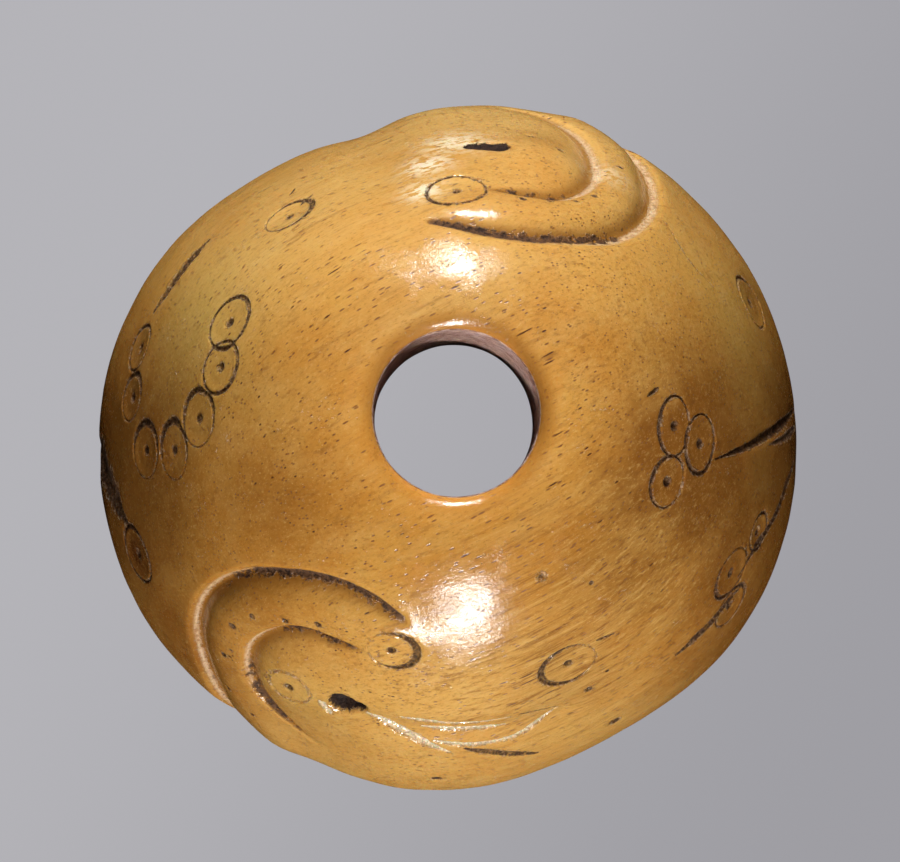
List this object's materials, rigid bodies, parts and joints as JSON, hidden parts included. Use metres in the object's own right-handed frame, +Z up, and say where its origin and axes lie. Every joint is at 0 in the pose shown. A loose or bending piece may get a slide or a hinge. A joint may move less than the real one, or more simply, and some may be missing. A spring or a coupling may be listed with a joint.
{
  "type": "bone spindle whorl",
  "caption": "High-domed bone spindle whorl with a flat base and a central bore, carved with hooked animal heads, chains of ring-and-dot marks and short grooves.",
  "frame": {"origin": "middle of the whorl's outline in plan, on its flat base", "axes": "+Z up along the spindle bore, from the flat base to the domed top; the first carved head is on the +Y side and the second on the -Y side"},
  "size_m": [0.0302, 0.0296, 0.0182],
  "materials": {
    "bone": "polished amber-brown bone"
  },
  "bodies": {
    "root": {"whorl": "bone"}
  },
  "joints": []
}
